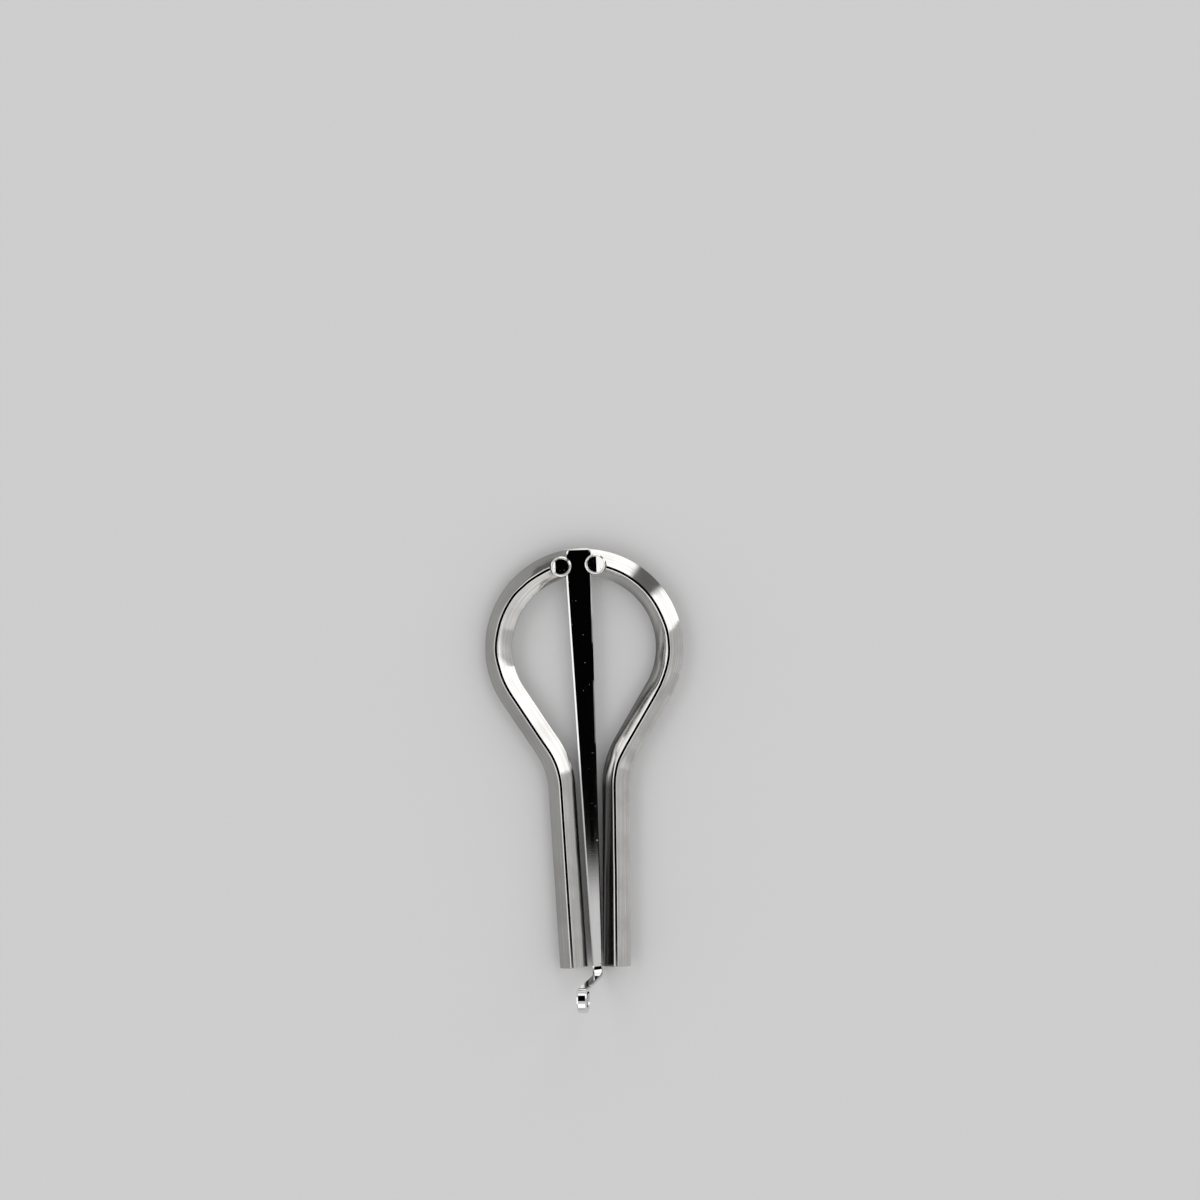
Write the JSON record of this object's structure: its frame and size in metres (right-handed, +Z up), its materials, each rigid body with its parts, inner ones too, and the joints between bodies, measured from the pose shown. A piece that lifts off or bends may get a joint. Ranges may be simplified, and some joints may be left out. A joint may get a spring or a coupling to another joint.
{
  "type": "jaw harp",
  "caption": "Jaw harp: a round bow of square steel bar with two long arms, and a tapered spring reed staked in its crown that runs between the arms to an upturned, curled trigger.",
  "frame": {"origin": "middle of the overall length and width, on the surface that the harp lies on", "axes": "+Y along the harp from the trigger to the crown of the bow, +Z up, to the side on which the trigger stands, +X across"},
  "size_m": [0.038, 0.0884, 0.0146],
  "materials": {
    "frame_plate": "drawn square bar, bright nickel plate with fine lines along the bar",
    "reed_plate": "smooth plated spring steel, mirror bright"
  },
  "bodies": {
    "harp_frame": {"frame": "frame_plate", "reed_root": "reed_plate"},
    "tongue": {"reed_tongue": "reed_plate"}
  },
  "joints": [
    {"name": "reed_flex", "type": "hinge", "parent": "harp_frame", "child": "tongue", "pos_m": [-0.00042, 0.02775, 0.00298], "axis": [-0.9999, -0.0128, 0], "range_deg": [-8, 8], "stiffness_Nm_per_rad": 1.2}
  ]
}
